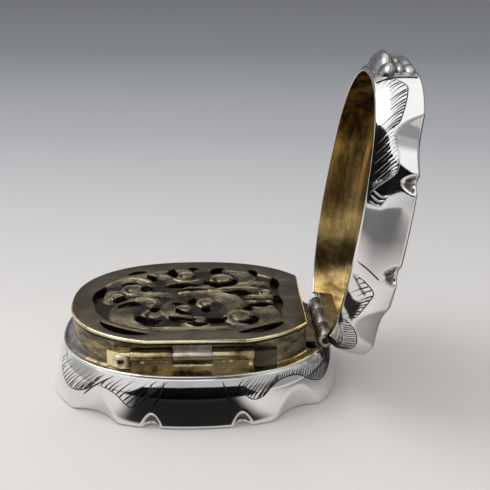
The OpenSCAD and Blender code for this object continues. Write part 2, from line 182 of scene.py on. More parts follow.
def smooth_min(a, b, blend):
    near = np.maximum(blend - np.abs(a - b), 0)
    return np.minimum(a, b) - near * near / (4 * blend)


def scoop(t, up, h, cut):
    at, half, foot, height = cut
    middle = math.radians(at)
    lean = (flare(middle, height, h) - foot) / height
    side = np.degrees(np.arccos(np.clip(np.cos(t), -1, 1))) - at
    lip = NOTCH_LIP * np.exp(-((up / NOTCH_LIP_H) ** 2)) if half == NARROW[0] else 0
    return foot + lip + lean * up + (lobe(middle) - foot) * (side / half) ** 2


def wall_out(t, up, h, scoops):
    out = flare(t, up, h)
    for cut in scoops:
        out = smooth_min(out, scoop(t, up, h, cut), SCOOP_BLEND)
    return out


def roll_in(up):
    low = np.clip(FOOT_ROLL - up, 0, FOOT_ROLL)
    return FOOT_ROLL - np.sqrt(FOOT_ROLL**2 - low**2)


def base_place(points):
    return points


def lid_place(points):
    """Points of a wall that stands on its foot, turned over and swung to the open lid."""
    x = points[..., 0] - LID_AXIS[0]
    z = LID_RIM_Z + LID_H - points[..., 2] - LID_AXIS[2]
    turned_x = LID_AXIS[0] + x * math.cos(LID_OPEN) + z * math.sin(LID_OPEN)
    turned_z = LID_AXIS[2] - x * math.sin(LID_OPEN) + z * math.cos(LID_OPEN)
    return np.stack([turned_x, points[..., 1], turned_z], -1)


def collar_line(t, grow, front_grow):
    """The collar's oval with its two flats, grown all round and by its own margin at the front."""
    line = oval(t, COLLAR_L + 2 * grow, COLLAR_W + 2 * grow)
    x = np.minimum(line[..., 0], COLLAR_FLAT_X + grow)
    y = np.maximum(line[..., 1], -COLLAR_FLAT_Y - front_grow)
    return np.stack([x, y], -1)


# Meshes
def loft_faces(rows, columns, close_rows=True):
    """Quads that join rings of points, ring to ring."""
    faces = []
    for j in range(rows if close_rows else rows - 1):
        here, there = j * columns, (j + 1) % rows * columns
        for i in range(columns):
            beside = (i + 1) % columns
            faces.append((here + i, here + beside, there + beside, there + i))
    return faces


def capped_faces(rows, columns):
    """Quads that join rings of points, and a face over the first and the last ring."""
    ends = [tuple(first + i for i in range(columns)) for first in (0, (rows - 1) * columns)]
    return loft_faces(rows, columns, close_rows=False) + ends


def add_object(name, data):
    obj = bpy.data.objects.new(name, data)
    bpy.context.scene.collection.objects.link(obj)
    return obj


def make_piece(name, points, faces, body, slot, materials, finish=None, sharp=35, weld=0.0, replaces=None):
    """A smooth-shaded mesh of points in millimetres, with faces as rows or made from its rings."""
    if callable(faces):
        faces = faces(*points.shape[:2])
    mesh = bpy.data.meshes.new(name)
    mesh.from_pydata((np.asarray(points).reshape(-1, 3) * MM).tolist(), [], faces)
    for material in materials:
        mesh.materials.append(material)
    if finish is not None:
        mesh.polygons.foreach_set("material_index", np.asarray(finish, np.int32))
    made = bmesh.new()
    made.from_mesh(mesh)
    if weld:
        bmesh.ops.remove_doubles(made, verts=made.verts, dist=weld * MM)
    bmesh.ops.recalc_face_normals(made, faces=made.faces)
    made.to_mesh(mesh)
    made.free()
    mesh.polygons.foreach_set("use_smooth", np.ones(len(mesh.polygons), bool))
    mesh.set_sharp_from_angle(angle=math.radians(sharp))
    obj = add_object(name, mesh)
    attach(obj, body)
    if replaces:
        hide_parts(replaces)
    return obj


class Gathered:
    """Points and faces of several shapes, gathered into one mesh."""

    def __init__(self):
        self.points, self.faces, self.finish = [], [], []
        self.count = 0

    def add(self, points, faces, finish):
        self.faces += [tuple(self.count + i for i in face) for face in faces]
        self.finish += list(np.broadcast_to(finish, len(faces)))
        self.points.append(points.reshape(-1, 3))
        self.count += len(self.points[-1])

    def add_strip(self, rings):
        """A row of rings with capped ends."""
        self.add(rings, capped_faces(*rings.shape[:2]), 0)

    def piece(self, name, body, slot, materials, sharp=60, **others):
        points = np.concatenate(self.points)
        make_piece(name, points, self.faces, body, slot, materials, self.finish, sharp, **others)


def smooth_path(points, count):
    """A smooth curve through a few chosen points."""
    p = np.asarray(points, float)
    p = np.vstack([2 * p[0] - p[1], p, 2 * p[-1] - p[-2]])
    s = np.linspace(0, len(p) - 3, count)
    i = np.minimum(s.astype(int), len(p) - 4)
    u = (s - i)[:, None]
    a, b, c, d = p[i], p[i + 1], p[i + 2], p[i + 3]
    return 0.5 * (2 * b + (c - a) * u + (2 * a - 5 * b + 4 * c - d) * u**2 + (3 * b - a - 3 * c + d) * u**3)


def ridge_rings(line, normals, widths, heights, sides, sunk):
    """Rings of a low rounded ridge along a line that lies on a surface."""
    along = unit(np.gradient(line, axis=0))
    across = unit(np.cross(normals, along))
    rings = []
    for angle in np.linspace(0, math.pi, sides + 1):
        side = across * (math.cos(angle) * widths / 2)[:, None]
        lift = normals * (math.sin(angle) * heights - sunk)[:, None]
        rings.append(line + side + lift)
    return np.stack(rings, 1)


# Nodes of materials. A socket knows its tree, so only coordinates and noises are told theirs
def set_inputs(made, inputs):
    for key, value in inputs.items():
        if isinstance(value, bpy.types.NodeSocket):
            made.id_data.links.new(value, made.inputs[key])
        else:
            made.inputs[key].default_value = value


def node(tree, kind, inputs=None, **settings):
    made = tree.nodes.new("ShaderNode" + kind)
    for key, value in settings.items():
        setattr(made, key, value)
    set_inputs(made, inputs or {})
    return made


def join(shader, **inputs):
    set_inputs(shader, {key.replace("_", " "): value for key, value in inputs.items()})


def new_material(name, metallic=0.0):
    material = bpy.data.materials.new(name)
    material.use_nodes = True
    shader = material.node_tree.nodes["Principled BSDF"]
    join(shader, Metallic=metallic)
    return material, material.node_tree, shader


def object_coords(tree, stretch=(1, 1, 1)):
    coords = node(tree, "TexCoord").outputs["Object"]
    if stretch == (1, 1, 1):
        return coords
    return node(tree, "Mapping", {"Vector": coords, "Scale": stretch}).outputs["Vector"]


def noise(tree, scale, detail=3.0, rough=0.55, stretch=(1, 1, 1)):
    """Noise whose scale is in grains per metre."""
    inputs = {"Vector": object_coords(tree, stretch), "Scale": scale, "Detail": detail, "Roughness": rough}
    return node(tree, "TexNoise", inputs).outputs["Fac"]


def split(vector):
    return node(vector.id_data, "SeparateXYZ", {"Vector": vector}).outputs


def ramp(factor, stops):
    made = node(factor.id_data, "ValToRGB", {"Fac": factor})
    elements = made.color_ramp.elements
    while len(elements) < len(stops):
        elements.new(0.5)
    for element, (at, colour) in zip(elements, stops):
        element.position = at
        element.color = (*colour, 1.0)
    return made.outputs["Color"]


def spread(factor, low, high, from_low=0.3, from_high=0.7):
    inputs = {"Value": factor, "From Min": from_low, "From Max": from_high, "To Min": low, "To Max": high}
    return node(factor.id_data, "MapRange", inputs).outputs["Result"]


def ease(value, low, high):
    """0 at one value, 1 at the other, smooth between."""
    inputs = {"Value": value, "From Min": low, "From Max": high}
    return node(value.id_data, "MapRange", inputs, interpolation_type="SMOOTHSTEP").outputs["Result"]


def product(a, b):
    return node(a.id_data, "Math", {0: a, 1: b}, operation="MULTIPLY").outputs["Value"]


def blend_colours(factor, a, b):
    colours = [(*c, 1.0) if isinstance(c, tuple) else c for c in (a, b)]
    inputs = {0: factor, 6: colours[0], 7: colours[1]}
    return node(factor.id_data, "Mix", inputs, data_type="RGBA").outputs[2]


def dent(height, strength, depth):
    return node(height.id_data, "Bump", {"Height": height, "Strength": strength, "Distance": depth * MM})


def grey(tone):
    return (tone, tone, tone)


# Materials
def surface(shader, colour, gloss, rough, grain, strength, depth=0.01):
    """Colour, gloss and dents of a material, where gloss and grain are noises."""
    tree = shader.id_data
    bumps = dent(noise(tree, *grain), strength, depth).outputs["Normal"]
    join(shader, Base_Color=colour, Roughness=spread(noise(tree, *gloss), *rough), Normal=bumps)


def silver_material():
    material, tree, shader = new_material("polished_silver", 1.0)
    tone = ramp(noise(tree, 170, 4), [(0.3, (0.80, 0.79, 0.775)), (0.62, (0.93, 0.925, 0.915))])
    polish = spread(noise(tree, 1500, 3, 0.7, (1, 1, 6)), 0.03, 0.1)
    wobble = dent(noise(tree, 260, 2, 0.4), 0.22, 0.03)
    scratches = dent(noise(tree, 9000, 2, 0.6, (1, 8, 0.4)), 0.06, 0.004)
    join(scratches, Normal=wobble.outputs["Normal"])
    join(shader, Base_Color=tone, Roughness=polish, Normal=scratches.outputs["Normal"])
    return material


def tarnished_material(name, dark, middle, pale):
    """Silver gone grey and brown where polish never reaches."""
    material, tree, shader = new_material(name, 1.0)
    colour = ramp(noise(tree, 520, 5, 0.65), [(0.3, dark), (0.52, middle), (0.72, pale)])
    surface(shader, colour, (1500, 3, 0.65), (0.18, 0.4), (2400, 4, 0.6), 0.2)
    return material


def oxidised_material(name, dark, pale, rough):
    material, tree, shader = new_material(name, 0.9)
    colour = ramp(noise(tree, 480, 5, 0.6, (0.6, 1, 1)), [(0.32, dark), (0.68, pale)])
    surface(shader, colour, (2200, 3), rough, (3200, 3, 0.6), 0.22)
    return material


def gilt_material(name, bright, dull, worn, share, rough=(0.16, 0.36), brushed=1.0):
    """Worn gilding: bright gold, dull brown patches and pale rubbed places."""
    material, tree, shader = new_material(name, 1.0)
    patches = noise(tree, 420, 5, 0.65, (1, 1, brushed))
    gold = ramp(patches, [(share - 0.12, dull), (share + 0.1, bright)])
    rubbed = spread(noise(tree, 230, 4, 0.6, (1, 1, 0.35)), 0.0, 0.75, 0.52, 0.72)
    grain = (1700, 4, 0.6, (1, 1, brushed))
    surface(shader, blend_colours(rubbed, gold, worn), (1100, 3, 0.65), rough, grain, 0.2, 0.012)
    return material


def lid_gilt_material():
    """The lid's smooth gilding, bright gold by the hinge and browned towards the free end."""
    material, tree, shader = new_material("lid_gilt", 1.0)
    streaks = noise(tree, 330, 5, 0.62, (1, 1.6, 0.22))
    gold = ramp(streaks, [(0.38, (0.34, 0.25, 0.12)), (0.58, (0.94, 0.79, 0.48))])
    brown = ramp(streaks, [(0.4, (0.11, 0.078, 0.04)), (0.6, (0.68, 0.48, 0.20))])
    height = split(object_coords(tree))["Z"]
    colour = blend_colours(ease(height, 0.013, 0.034), gold, brown)
    surface(shader, colour, (1100, 3, 0.65), (0.12, 0.26), (900, 3, 0.6, (1, 1, 0.3)), 0.12, 0.012)
    return material


def relief_material():
    """Oxidised in the hollows of the scrolls and rubbed to old gold on their backs."""
    material, tree, shader = new_material("oxidised_relief", 0.95)
    low = GRILLE_TOP - FIELD_SINK
    height = split(object_coords(tree))["Z"]
    lifted = spread(height, 0.0, 0.72, low * MM, (low + BAND_H) * MM)
    patchy = product(lifted, spread(noise(tree, 420, 4, 0.6), 0.6, 1.35))
    stops = [(0.1, (0.008, 0.007, 0.006)), (0.45, (0.10, 0.083, 0.057)), (0.88, (0.44, 0.36, 0.23))]
    surface(shader, ramp(patchy, stops), (2200, 3), (0.24, 0.42), (3200, 3, 0.6), 0.2)
    return material


def engraving_material():
    material, tree, shader = new_material("engraved_line", 1.0)
    tone = ramp(noise(tree, 1800, 2), [(0.35, (0.02, 0.019, 0.02)), (0.7, (0.09, 0.088, 0.09))])
    join(shader, Base_Color=tone, Roughness=spread(noise(tree, 2600, 2), 0.25, 0.45))
    return material


def sponge_material():
    material, tree, shader = new_material("sponge_tan")
    cells = node(tree, "TexVoronoi", {"Vector": object_coords(tree), "Scale": 900.0}).outputs["Distance"]
    colour = ramp(cells, [(0.1, (0.10, 0.064, 0.03)), (0.6, (0.035, 0.02, 0.009))])
    rough = spread(noise(tree, 1500, 3), 0.75, 0.95)
    join(shader, Base_Color=colour, Roughness=rough, Normal=dent(cells, 0.6, 0.2).outputs["Normal"])
    return material


DULL = (0.28, 0.48)
SILVER = silver_material()
# Mottled tarnished silver, also laid deep in the wall notches as painted shade
TARNISH_AND_SHADE = tarnished_material(
    "tarnish_and_shade_silver", (0.10, 0.09, 0.08), (0.24, 0.22, 0.20), (0.44, 0.42, 0.39))
HINGE_SILVER = tarnished_material(
    "worn_hinge_silver", (0.22, 0.195, 0.16), (0.40, 0.365, 0.315), (0.62, 0.58, 0.52))
# The thumb piece's silver, mottled like tarnish and darker than the walls as painted shade on its lumps
THUMB_TARNISH_AND_SHADE = tarnished_material(
    "thumb_tarnish_and_shade_silver", (0.26, 0.255, 0.25), (0.46, 0.455, 0.45), (0.66, 0.655, 0.65))
GILT = gilt_material(
    "worn_gilt", (0.36, 0.29, 0.17), (0.10, 0.08, 0.05), (0.42, 0.37, 0.28), 0.5, (0.2, 0.38), 3.0)
LID_GILT = lid_gilt_material()
BRIGHT_GILT = gilt_material("bright_gilt", (0.90, 0.78, 0.48), (0.44, 0.34, 0.17), (0.90, 0.84, 0.66), 0.42)
TUBE_GILT = gilt_material(
    "tube_gilt", (0.74, 0.60, 0.34), (0.22, 0.165, 0.085), (0.78, 0.69, 0.50), 0.47, DULL)
ROSE_GILT = gilt_material(
    "rubbed_rose_gilt", (0.92, 0.80, 0.70), (0.46, 0.33, 0.24), (0.94, 0.88, 0.82), 0.42, DULL)
DARK_GILT = gilt_material("dark_gilt", (0.26, 0.21, 0.135), (0.075, 0.06, 0.042), (0.32, 0.28, 0.22), 0.52)
OXIDISED = oxidised_material("oxidised_plate", (0.072, 0.06, 0.043), (0.14, 0.117, 0.084), (0.34, 0.5))
# Near-black painted shade: under the grille's overhang, inside its piercings and on the lid's hinge wire in
# its dark hole
SHADE_BLACK = oxidised_material("painted_shade_black", (0.012, 0.011, 0.010), (0.05, 0.044, 0.036), (0.4, 0.6))
LEAF_TIP = oxidised_material("rubbed_gilt_relief", (0.20, 0.165, 0.10), (0.44, 0.36, 0.235), (0.26, 0.42))
RELIEF = relief_material()
ENGRAVED = engraving_material()
SPONGE = sponge_material()


# Walls
ROUND_STEPS = 640
LEVELS = 56
HINGE_EDGE = math.asin((HINGE_ROOM / (RIM_W / 2)) ** (OVAL_POWER / 2))


def wall_angles():
    """Angles round the outline, with a close pair at each end of the hinge opening."""
    close = 0.0004
    pairs = [edge + side for edge in (HINGE_EDGE, TURN - HINGE_EDGE) for side in (-close, close)]
    return np.sort(np.concatenate([turn_steps(ROUND_STEPS), pairs]))


def rim_round(up, top):
    """How far the rounded rim draws in below its top."""
    high = np.clip(up - (top - RIM_ROUND), 0, RIM_ROUND)
    return RIM_ROUND - np.sqrt(np.maximum(RIM_ROUND**2 - high**2, 0))


def wall_loops(h, scoops, hinge_drop):
    """Loops of a wall that stands on its foot, and the number of the first loop inside it."""
    t = wall_angles()
    rim = oval(t, RIM_L, RIM_W)
    open_here = (rim[:, 0] > 0) & (np.abs(rim[:, 1]) < HINGE_ROOM)
    top = np.where(open_here, h - hinge_drop, h)
    straight = top - RIM_ROUND
    foot = FOOT_ROLL * (1 - np.cos(np.linspace(0, QUARTER, 9)[:-1]))
    rounded = RIM_ROUND * np.sin(np.linspace(0, QUARTER, 6))
    rebate = rim_offset(t, wall_out(t, 0 * t, h, scoops) - FOOT_ROLL - WALL_T)
    loops = [at_height(rebate, PANEL_T), at_height(rebate, 0)]
    heights = [0 * t + up for up in foot]
    heights += [FOOT_ROLL + (straight - FOOT_ROLL) * s for s in np.linspace(0, 1, LEVELS)[:-1]]
    heights += [straight + up for up in rounded]
    for up in heights:
        out = wall_out(t, up, h, scoops) - roll_in(up) - rim_round(up, top)
        loops.append(at_height(rim_offset(t, out), up))
    first_inside = len(loops)
    low = PANEL_T + FLANGE_T
    heights = [straight + up for up in rounded[::-1]]
    heights += [low + (straight - low) * s for s in np.linspace(1, 0, LEVELS // 2)[1:]]
    for up in heights:
        out = LINING_FLARE * flare(t, up, h) - WALL_T + rim_round(up, top)
        loops.append(at_height(rim_offset(t, out), up))
    flange = rim_offset(t, 0 * t - FLANGE_IN)
    loops += [at_height(flange, low), at_height(flange, PANEL_T)]
    return np.stack(loops), first_inside


def notch_depth(t, up, h, scoops):
    """How far the narrow scoops cut into the plain lobes."""
    cuts = [flare(t, up, h) - scoop(t, up, h, cut) for cut in scoops if cut[1] == NARROW[0]]
    return np.maximum.reduce(cuts)


def make_wall(name, node_name, body, h, scoops, place, hinge_drop, lining):
    """A wall of silver, with darker tarnished silver deep in its narrow notches as painted shade, and gilt
    inside.
    """
    loops, first_inside = wall_loops(h, scoops, hinge_drop)
    silver_rows = 3
    finish = np.zeros(loops.shape[:2], int)
    finish[first_inside + silver_rows :] = 1
    # Painted shade: faces deep in the narrow notches take the darker tarnished silver
    depth = notch_depth(wall_angles(), loops[..., 2], h, scoops)
    shaded = (depth > NOTCH_SHADE) & (loops[..., 2] > FOOT_ROLL)
    finish[:first_inside] = np.where(shaded, 2, 0)[:first_inside]
    materials = [SILVER, lining, TARNISH_AND_SHADE]
    loops, finish = place(loops), finish.ravel()
    make_piece(name, loops, loft_faces, body, "silver", materials, finish, 50, replaces=node_name)


def make_panel(name, node_name, body, h, scoops, place, inner_material):
    """A flat plate with eased edges, let into the foot of a wall."""
    t = turn_steps(480)
    line = rim_offset(t, wall_out(t, 0 * t, h, scoops) - (FOOT_ROLL + WALL_T + SOLDER_GAP))
    corner = 0.06
    eased = line - oval_normal(t) * corner
    shares = [0.02, 0.25, 0.5, 0.75, 0.93]
    half = [at_height(line * s, 0) for s in shares] + [at_height(eased, 0), at_height(line, corner)]
    turned_over = [loop * [1, 1, -1] + [0, 0, PANEL_T] for loop in reversed(half)]
    loops = np.stack(half + turned_over)
    inside = np.arange(len(loops) - 1) >= len(half)
    finish = list(np.repeat(inside, len(t)).astype(int)) + [0, 1]
    materials = [SILVER, inner_material]
    make_piece(name, place(loops), capped_faces, body, "silver", materials, finish, replaces=node_name)


BASE_SIDE = ("base", BASE_WALL_H, BASE_SCOOPS, base_place)
LID_SIDE = ("lid", LID_H, LID_SCOOPS, lid_place)
make_wall("base_shell", "base_wall", *BASE_SIDE, BASE_HINGE_DROP, GILT)
make_wall("lid_shell", "lid_wall", *LID_SIDE, LID_HINGE_DROP, LID_GILT)
make_panel("base_floor", "base_panel", *BASE_SIDE, GILT)
make_panel("lid_top", "lid_panel", *LID_SIDE, LID_GILT)


# Seat rim, collar and sponge
def make_seat():
    """The flat lip with a rounded edge, and a hollow moulding that rises from it to the collar."""
    t = np.linspace(HINGE_EDGE, TURN - HINGE_EDGE, 560)
    inner = collar_line(t, SOLDER_GAP, SOLDER_GAP)
    beside = (inner[:, 0] > 0) & (np.abs(inner[:, 1]) < HINGE_ROOM)
    inner[beside, 1] = np.sign(inner[beside, 1]) * HINGE_ROOM
    half = (SEAT_TOP - SEAT_LOW) / 2
    rings = [at_height(inner, SEAT_LOW)]
    for angle in np.linspace(-QUARTER, QUARTER, 9):
        line = rim_offset(t, 0 * t + SEAT_LIP - half + half * math.cos(angle))
        rings.append(at_height(line, SEAT_LOW + half + half * math.sin(angle)))
    first_hollow = len(rings)
    lip = rim_offset(t, 0 * t - COVE_IN)
    rise = COVE_LOW + (COVE_HIGH - COVE_LOW) * np.maximum(0, -np.cos(t)) ** 6
    for s in np.sin(np.linspace(0, QUARTER, 12)):
        up = SEAT_TOP + rise * (1 - math.sqrt(max(0, 1 - s * s)))
        rings.append(at_height(lip + (inner - lip) * s, up))
    rings = np.stack(rings, 1)
    at_free_end = np.cos(t[:-1]) < -0.8
    dull = np.where(at_free_end, 1, 2)[:, None]
    finish = np.where(np.arange(rings.shape[1]) >= first_hollow, dull, 0)
    finish = list(finish.ravel()) + [0, 0]
    metals = [SILVER, TARNISH_AND_SHADE, GILT]
    make_piece("seat_ring", rings, capped_faces, "base", "silver", metals, finish, 40, replaces="seat_rim")


def make_collar():
    t = turn_steps(720)
    corner = 0.14
    angles = np.linspace(0, QUARTER, 5)
    edge = [(corner * (math.cos(a) - 1), a) for a in angles]
    edge += [(corner * (1 - math.cos(a)) - COLLAR_T, a) for a in angles[::-1]]
    loops = [at_height(collar_line(t, 0, 0), COLLAR_LOW)]
    for grow, a in edge:
        loops.append(at_height(collar_line(t, grow, grow), COLLAR_TOP - corner + corner * math.sin(a)))
    loops.append(at_height(collar_line(t, -COLLAR_T, -COLLAR_T), COLLAR_LOW))
    make_piece("collar_wall", np.stack(loops), loft_faces, "base", "gilt", [GILT], replaces="collar")


def pores(points, seeds, size):
    """Depth of round pores about seeded centres."""
    near = np.full(len(points), 1e9)
    for seed in seeds:
        near = np.minimum(near, ((points - seed) ** 2).sum(-1))
    return np.clip(1 - np.sqrt(near) / size, 0, 1)


def make_sponge():
    low, high = node_box("sponge")
    t = turn_steps(260)
    line = collar_line(t, -SPONGE_INSET, -SPONGE_INSET)
    shares = np.linspace(1, 0.03, 44)
    crown = 0.35
    pore_size = 0.62
    pore_depth = 0.55
    loops = [at_height(line * 0.5, low[2]), at_height(line * 0.96, low[2])]
    loops += [at_height(line, low[2] + 0.4), at_height(line, high[2] - 0.9)]
    loops += [at_height(line * s, high[2] - crown * s**6) for s in shares]
    loops = np.stack(loops)
    top = loops[-len(shares) :]
    seeds = rng.uniform([-17, -13], [15.5, 13], (620, 2))
    depth = pores(top[..., :2].reshape(-1, 2), seeds, pore_size).reshape(len(shares), -1)
    top[..., 2] -= pore_depth * depth
    obj = make_piece("sponge_pad", loops, capped_faces, "base", "sponge", [SPONGE], sharp=80)
    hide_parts("sponge")


make_seat()
make_collar()
make_sponge()

# Thumb piece. Lumps of its middle and one half: place and half size, both across and down, and rise
THUMB_LUMPS = [
    (0, 0.23, 0.6, 0.23, 1), (0.6, 0.27, 0.36, 0.2, 0.6), (0, 0.55, 0.42, 0.12, 0.55),
    (0.5, 0.56, 0.36, 0.12, 0.44), (0, 0.82, 0.58, 0.18, 0.5), (0.6, 0.82, 0.34, 0.16, 0.36),
]


def thumb_bulge(p, q):
    rise = 0 * p
    for across, down, half_across, half_down, height in THUMB_LUMPS:
        round_off = 1 - ((np.abs(p) - across) / half_across) ** 2 - ((q - down) / half_down) ** 2
        rise = np.maximum(rise, height * np.sqrt(np.maximum(0, round_off)))
    return THUMB_OUT * rise


def make_thumb():
    """The cast lumps over the lid's free end, in rings down the wall and back over the lumps."""
    edge = 0.12
    start = 0.25
    p, q = np.meshgrid(np.linspace(-1, 1, 151), np.linspace(0, 1, 121), indexing="ij")
    t = math.pi + THUMB_HALF * p
    up = LID_H - start - THUMB_H * q
    out = wall_out(t, up, LID_H, LID_SCOOPS) + SOLDER_GAP
    under = at_height(rim_offset(t, out), up)
    over = at_height(rim_offset(t, out + edge + thumb_bulge(p, q)), up)
    thumb = Gathered()
    thumb.add_strip(lid_place(np.concatenate([under, over[:, ::-1]], 1)))
    thumb.piece("thumb_shell", "lid", "silver", [THUMB_TARNISH_AND_SHADE], replaces="thumb_piece")


make_thumb()


# Hinges
def turned(name, profile, axis, centre, body, slot, material, segments=56, replaces=None):
    """A closed profile of (distance along the axis, radius), turned about X or Y through a point."""
    angles = turn_steps(segments)
    loops = []
    for along, radius in profile:
        ring = [radius * np.cos(angles), radius * np.sin(angles)]
        ring.insert("xy".index(axis), 0 * angles + along)
        loops.append(np.stack(ring, -1) + np.asarray(centre))
    make_piece(name, np.stack(loops), loft_faces, body, slot, [material], replaces=replaces)


def tube_size(node_name, axis):
    """Start, end and radius of a tube or wire that lies along X or Y."""
    low, high = node_box(node_name)
    along = "xy".index(axis)
    return low[along], high[along], (high[2] - low[2]) / 2


def both_ends(start, end, half):
    """A profile that ends alike at its start and its end."""
    return [(start + s, radius) for s, radius in half] + [(end - s, radius) for s, radius in reversed(half)]


def knuckle(node_name, name, axis, centre, bore, body, material):
    """A hinge tube with eased ends, as long and thick as its solid."""
    start, end, radius = tube_size(node_name, axis)
    corner = radius * 0.14
    half = [(0, bore), (0, radius - corner), (corner * 0.3, radius - corner * 0.3), (corner, radius)]
    turned(name, both_ends(start, end, half), axis, centre, body, "gilt", material, replaces=node_name)


def pin(node_name, name, axis, centre, radius, head, head_t, material):
    """A hinge wire with a domed head at each end."""
    start, end, _ = tube_size(node_name, axis)
    angles = np.linspace(0, QUARTER, 6)
    half = [(head_t * (1 - math.cos(a)), max(0.01, head * math.sin(a))) for a in angles]
    profile = both_ends(start, end, half + [(head_t, radius)])
    turned(name, profile, axis, centre, "base", "silver", material, 32, node_name)


def dressed_copy(node_name, name, body, material, width):
    """A copy of a solid with its edges eased."""
    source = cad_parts[node_name].data
    points = np.array([v.co for v in source.vertices]) / MM
    faces = [tuple(p.vertices) for p in source.polygons]
    obj = make_piece(name, points, faces, body, "gilt", [material], weld=0.002, replaces=node_name)
    made = bmesh.new()
    made.from_mesh(obj.data)
    bmesh.ops.dissolve_limit(made, angle_limit=math.radians(1), verts=made.verts, edges=made.edges)
    made.to_mesh(obj.data)
    made.free()
    bevel = obj.modifiers.new("eased_edges", "BEVEL")
    bevel.width = width * MM
    bevel.segments = 3
    bevel.limit_method = "ANGLE"
    bevel.angle_limit = math.radians(32)
    bevel.harden_normals = True


def make_bearer():
    """The soldered strip that cradles the grille's outer knuckles, with a ragged edge of solder."""
    low, high = node_box("grille_hinge_bearer")
    middle_low, middle_high = node_box("grille_knuckle_middle")
    x = np.linspace(low[0], high[0], 420)
    waves = ((1.1, 0.4), (2.3, 1.9), (3.7, 0.2), (5.9, 2.6))
    ragged = sum(np.sin(x * rate + shift) for rate, shift in waves) / 4
    room = 0.06
    step = 0.12
    ledge = 0.22
    gap = np.maximum(middle_low[0] - room - x, x - middle_high[0] - room)
    outer = np.clip(gap / step, 0, 1)
    radius = (middle_high[2] - middle_low[2]) / 2 + room
    front, back = low[1], high[1]
    bottom = low[2] + 0.01
    cut_low = low[2] + 0.7

    def under_tube(y):
        here = GRILLE_AXIS[2] - math.sqrt(radius**2 - (y - GRILLE_AXIS[1]) ** 2)
        return np.minimum(here, cut_low + (here - cut_low) * outer)

    top_front = under_tube(front) - 0.14 + 0.2 * ragged
    top_ledge = under_tube(front + ledge) - 0.04
    top_back = np.minimum(top_ledge, GRILLE_AXIS[2] - radius) - 0.02
    lip = 0.05 * (1 + ragged)
    profile = [
        (back, bottom), (front, bottom), (front + lip * 0.4, bottom + (top_front - bottom) * 0.5),
        (front + lip, top_front - 0.06), (front + 0.06 + lip, top_front), (front + ledge, top_ledge),
        (GRILLE_AXIS[1] + 0.1, top_back), (back, top_back),
    ]
    strip = Gathered()
    strip.add_strip(np.stack([np.stack([x, 0 * x + y, 0 * x + z], -1) for y, z in profile], 1))
    strip.piece("grille_hinge_seat", "base", "gilt", [TUBE_GILT], 40, replaces="grille_hinge_bearer")


def dome(name, centre, radius, rise):
    """A low round bead of gilt solder that stands on a face towards the front."""
    profile = [(-rise * math.cos(a), radius * math.sin(a)) for a in np.linspace(0.02, QUARTER, 12)]
    profile += [(rise * 0.6, radius * 0.9), (rise * 0.6, 0.01)]
    turned(name, profile, "y", centre, "base", "gilt", BRIGHT_GILT, 40)


LID_BORE = 0.48
GRILLE_BORE = 0.33
LID_TUBES = {"front": "base_knuckle_front", "rear": "base_knuckle_rear", "middle": "lid_knuckle"}
for place, node_name in LID_TUBES.items():
    body = node_name.split("_")[0]
    knuckle(node_name, "lid_hinge_tube_" + place, "y", LID_AXIS, LID_BORE, body, HINGE_SILVER)
for place, body, gilding in (
    ("left", "base", TUBE_GILT), ("right", "base", TUBE_GILT), ("middle", "grille", ROSE_GILT)):
    tube = "grille_hinge_tube_" + place
    knuckle("grille_knuckle_" + place, tube, "x", GRILLE_AXIS, GRILLE_BORE, body, gilding)
# The lid's hinge wire is black as painted shade for the dark hole at its head
pin("lid_hinge_pin", "lid_hinge_wire", "y", LID_AXIS, 0.45, 0.55, 0.12, SHADE_BLACK)
pin("grille_hinge_pin", "grille_hinge_wire", "x", GRILLE_AXIS, 0.3, 0.3, 0.1, SILVER)
dressed_copy("base_hinge_bearer", "lid_hinge_seat", "base", DARK_GILT, 0.08)
dressed_copy("lid_hinge_bearer", "lid_hinge_strip", "lid", HINGE_SILVER, 0.08)
dressed_copy("grille_leaf", "grille_hinge_leaf", "grille", ROSE_GILT, 0.05)
dressed_copy("hinge_block_left", "end_block_left", "base", BRIGHT_GILT, 0.2)
dressed_copy("hinge_block_right", "end_block_right", "base", OXIDISED, 0.2)
make_bearer()
dome("end_block_bead", (-10.15, -11.62, 8.4), 0.9, 0.5)
dome("solder_bead", (7.25, -11.98, 7.72), 0.36, 0.3)

